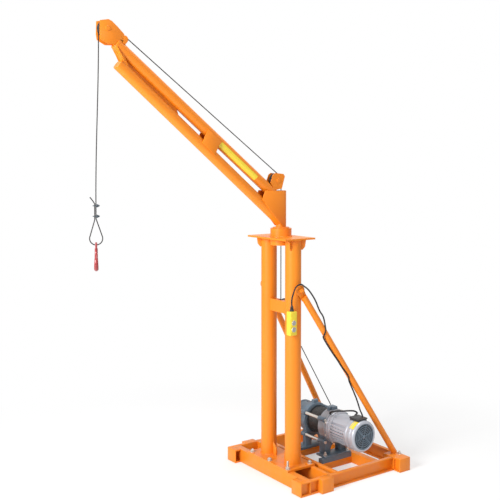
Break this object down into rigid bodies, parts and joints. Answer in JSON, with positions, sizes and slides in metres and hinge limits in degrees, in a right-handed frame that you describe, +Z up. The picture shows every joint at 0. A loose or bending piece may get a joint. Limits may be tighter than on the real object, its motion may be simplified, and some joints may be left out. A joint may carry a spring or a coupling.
{
  "type": "portable mini crane",
  "caption": "Slewing mini crane: twin-tube boom with a rope hook on a two-column mast, electric drum winch and wired pendant on a steel channel base.",
  "frame": {"origin": "on the ground under the slew axis, midway between the two columns", "axes": "+X to the rear where the winch stands, the boom points to -X at rest, +Y to the left side seen from behind, +Z up"},
  "size_m": [1.8907, 0.842, 2.597],
  "materials": {
    "orange_paint": "satin enamel",
    "zinc_steel": "zinc plated",
    "machined_steel": "machined",
    "dark_iron": "dark enamel",
    "grey_iron": "grey enamel",
    "motor_silver": "silver enamel",
    "wire_rope": "greased wire rope",
    "black_plastic": "moulded",
    "cable_rubber": "matt",
    "yellow_plastic": "moulded",
    "button_grey": "moulded",
    "hook_red": "enamel"
  },
  "bodies": {
    "mast": {"side_beam_left": "orange_paint", "side_beam_right": "orange_paint", "front_cross_beam": "orange_paint", "second_cross_beam": "orange_paint", "support_cross_beam": "orange_paint", "rear_cross_beam": "orange_paint", "rear_corner_boxes": "orange_paint", "winch_rails": "orange_paint", "column_base_plate": "orange_paint", "base_bolts": "zinc_steel", "column_left": "orange_paint", "column_right": "orange_paint", "column_gussets": "orange_paint", "top_plate": "orange_paint", "slew_housing": "orange_paint", "mid_cross_member": "orange_paint", "brace_left": "orange_paint", "brace_right": "orange_paint", "brace_brackets": "orange_paint", "hoist_rope_mast": "wire_rope", "winch_frames": "grey_iron", "winch_tie_rods": "zinc_steel", "motor_body": "motor_silver", "fan_cover": "motor_silver", "terminal_box": "black_plastic", "gearbox": "grey_iron", "winch_base_bars": "grey_iron", "motor_lead": "cable_rubber", "pendant_body": "yellow_plastic", "pendant_gland": "black_plastic", "pendant_cable": "cable_rubber"},
    "boom": {"boom_post": "orange_paint", "boom_lower_tube": "orange_paint", "boom_upper_tube": "orange_paint", "boom_side_plates": "orange_paint", "head_frame": "orange_paint", "foot_sheave_housing": "orange_paint", "boom_sheave_pins": "zinc_steel", "hoist_rope_boom": "wire_rope", "rope_fall": "wire_rope", "rope_eye": "wire_rope", "rope_clips": "dark_iron", "hook": "hook_red"},
    "head_sheave": {"head_sheave": "machined_steel"},
    "foot_sheave": {"foot_sheave": "machined_steel"},
    "guide_sheave": {"guide_sheave": "machined_steel"},
    "drum": {"winch_drum": "dark_iron", "drum_rope": "wire_rope"},
    "button_up": {"pendant_button_up": "button_grey"},
    "button_down": {"pendant_button_down": "button_grey"}
  },
  "joints": [
    {"name": "boom_slew", "type": "hinge", "parent": "mast", "child": "boom", "pos_m": [0, 0, 1.425], "axis": [0, 0, 1], "range_deg": [-180, 180]},
    {"name": "head_sheave_spin", "type": "hinge", "parent": "boom", "child": "head_sheave", "pos_m": [-1.13099, 0, 2.54902], "axis": [0, 1, 0], "continuous": true},
    {"name": "foot_sheave_spin", "type": "hinge", "parent": "boom", "child": "foot_sheave", "pos_m": [-0.038, 0, 1.757], "axis": [0, 1, 0], "continuous": true},
    {"name": "guide_sheave_spin", "type": "hinge", "parent": "mast", "child": "guide_sheave", "pos_m": [0.03, 0, 1.014], "axis": [0, 1, 0], "continuous": true},
    {"name": "drum_spin", "type": "hinge", "parent": "mast", "child": "drum", "pos_m": [0.36, 0, 0.241], "axis": [0, 1, 0], "continuous": true},
    {"name": "button_up_press", "type": "slide", "parent": "mast", "child": "button_up", "axis": [0, 1, 0], "range_m": [0, 0.003], "stiffness_N_per_m": 600},
    {"name": "button_down_press", "type": "slide", "parent": "mast", "child": "button_down", "axis": [0, 1, 0], "range_m": [0, 0.003], "stiffness_N_per_m": 600}
  ]
}
